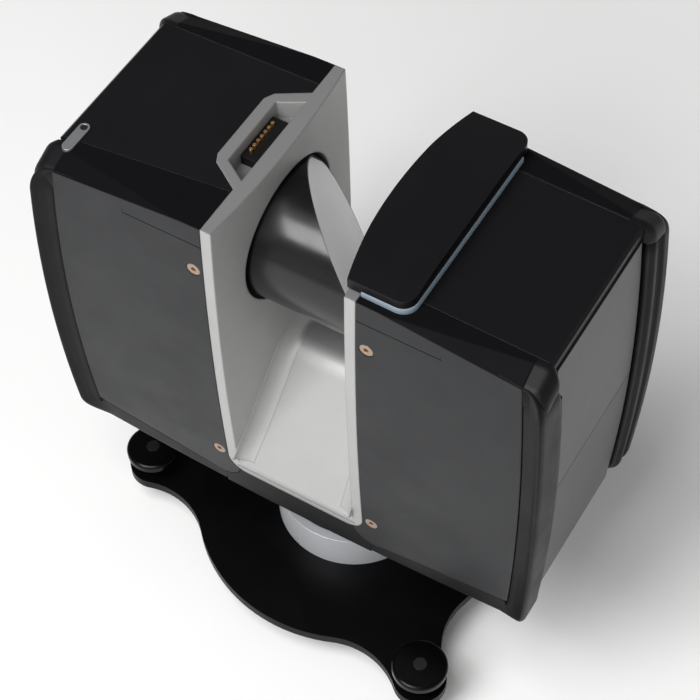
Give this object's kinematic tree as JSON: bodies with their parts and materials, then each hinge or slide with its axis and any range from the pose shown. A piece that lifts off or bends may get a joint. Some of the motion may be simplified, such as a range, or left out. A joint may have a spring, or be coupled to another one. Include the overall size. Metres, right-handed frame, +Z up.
{
  "type": "terrestrial laser scanner",
  "caption": "Two-tower laser scanner head with a spinning mirror drum between the towers, panning on a round levelling plate with three screw feet.",
  "frame": {"origin": "mouth of the tripod thread in the underside of the levelling plate, on the pan axis", "axes": "+X across the towers towards the display side, -Y out of the front, +Z up along the pan axis"},
  "size_m": [0.23, 0.1856, 0.2573],
  "materials": {
    "cover_paint": "satin",
    "bumper_plastic": "satin",
    "top_plastic": "satin",
    "silver_paint": "fine metallic grain",
    "panel_plastic": "satin",
    "screen_glass": "coated",
    "light_guide": "translucent",
    "brushed_plate": "brushed",
    "button_black": "satin",
    "connector_black": "matte",
    "contact_gold": "gold plated",
    "screw_steel": "passivated",
    "base_black": "powder coated",
    "base_casting": "powder coated",
    "ring_metal": "machined",
    "insert_brass": "machined",
    "steel": "machined",
    "knob_black": "gloss",
    "stud_steel": "blackened",
    "drum_black": "gloss anodised",
    "mirror_coat": "polished",
    "motor_dark": "painted",
    "winding": "enamelled wire",
    "encoder_glass": "etched",
    "lens_glass": "coated",
    "optic_black": "black anodised",
    "board_green": "solder mask",
    "battery_case": "matte"
  },
  "bodies": {
    "stand": {"stand_plate": "base_black", "thread_inserts": "insert_brass", "mount_ring": "ring_metal", "mount_screws": "screw_steel", "tripod_bush": "steel", "pan_post": "steel", "pan_gear": "insert_brass"},
    "head": {"head_base": "base_casting", "pan_bearings": "steel", "pan_motor": "motor_dark", "saddle_frame": "silver_paint", "cover_bosses": "ring_metal", "front_cover_left": "cover_paint", "front_cover_right": "cover_paint", "rear_cover_left": "cover_paint", "rear_cover_right": "cover_paint", "front_bumper_left": "bumper_plastic", "front_bumper_right": "bumper_plastic", "rear_bumper_left": "bumper_plastic", "rear_bumper_right": "bumper_plastic", "chin_cover_front": "bumper_plastic", "chin_cover_rear": "bumper_plastic", "top_plate_left": "top_plastic", "top_plate_right": "top_plastic", "left_side_panel": "panel_plastic", "display_glass": "screen_glass", "door_hinge_pins": "screw_steel", "service_sockets": "connector_black", "battery_pack": "battery_case", "antenna_cap": "top_plastic", "light_strip": "light_guide", "power_plate": "brushed_plate", "bay_connector": "connector_black", "bay_contacts": "contact_gold", "cover_screws": "screw_steel", "rotor_bearings": "steel", "bearing_housing": "ring_metal", "motor_stator": "winding", "receiver_tube": "optic_black", "receiver_lens": "lens_glass", "laser_module": "optic_black", "main_board": "board_green"},
    "pinion": {"pan_pinion": "steel"},
    "rotor": {"mirror_drum": "drum_black", "scan_mirror": "mirror_coat", "rotor_shaft": "steel", "encoder_disc": "encoder_glass", "motor_magnet": "motor_dark"},
    "service_flap": {"service_door": "panel_plastic"},
    "battery_flap": {"battery_door": "panel_plastic"},
    "button": {"power_button": "button_black"},
    "foot_1": {"foot_tip_1": "stud_steel"},
    "screw_1": {"levelling_knob_1": "knob_black", "levelling_stud_1": "stud_steel"},
    "foot_2": {"foot_tip_2": "stud_steel"},
    "screw_2": {"levelling_knob_2": "knob_black", "levelling_stud_2": "stud_steel"},
    "foot_3": {"foot_tip_3": "stud_steel"},
    "screw_3": {"levelling_knob_3": "knob_black", "levelling_stud_3": "stud_steel"}
  },
  "joints": [
    {"name": "head_pan", "type": "hinge", "parent": "stand", "child": "head", "pos_m": [0, 0, 0.06], "axis": [0, 0, 1], "continuous": true},
    {"name": "pinion_spin", "type": "hinge", "parent": "head", "child": "pinion", "pos_m": [0, 0.026, 0.086], "axis": [0, 0, 1], "continuous": true},
    {"name": "rotor_spin", "type": "hinge", "parent": "head", "child": "rotor", "pos_m": [0, 0, 0.189], "axis": [1, 0, 0], "continuous": true},
    {"name": "service_door_hinge", "type": "hinge", "parent": "head", "child": "service_flap", "pos_m": [0.1052, 0, 0.0655], "axis": [0, 1, 0], "range_deg": [0, 80]},
    {"name": "battery_door_hinge", "type": "hinge", "parent": "head", "child": "battery_flap", "pos_m": [-0.1052, 0, 0.0655], "axis": [0, -1, 0], "range_deg": [0, 80]},
    {"name": "power_press", "type": "slide", "parent": "head", "child": "button", "axis": [0, 0, -1], "range_m": [0, 0.0006], "stiffness_N_per_m": 400, "springref_m": -0.0006},
    {"name": "screw_1_turn", "type": "hinge", "parent": "foot_1", "child": "screw_1", "pos_m": [-0.09283, -0.02981, 0], "axis": [0, 0, 1], "range_deg": [-2200, 2920]},
    {"name": "foot_1_travel", "type": "slide", "parent": "stand", "child": "foot_1", "axis": [0, 0, 1], "range_m": [-0.006, 0.008]},
    {"name": "screw_2_turn", "type": "hinge", "parent": "foot_2", "child": "screw_2", "pos_m": [0.07223, -0.06549, 0], "axis": [0, 0, 1], "range_deg": [-2200, 2920]},
    {"name": "foot_2_travel", "type": "slide", "parent": "stand", "child": "foot_2", "axis": [0, 0, 1], "range_m": [-0.006, 0.008]},
    {"name": "screw_3_turn", "type": "hinge", "parent": "foot_3", "child": "screw_3", "pos_m": [0.0206, 0.0953, 0], "axis": [0, 0, 1], "range_deg": [-2200, 2920]},
    {"name": "foot_3_travel", "type": "slide", "parent": "stand", "child": "foot_3", "axis": [0, 0, 1], "range_m": [-0.006, 0.008]}
  ],
  "couplings": [
    {"joint": "pinion_spin", "follows": "head_pan", "ratio": 3.3333},
    {"joint": "screw_1_turn", "follows": "foot_1_travel", "rad_per_m": 6283.2},
    {"joint": "screw_2_turn", "follows": "foot_2_travel", "rad_per_m": 6283.2},
    {"joint": "screw_3_turn", "follows": "foot_3_travel", "rad_per_m": 6283.2}
  ]
}
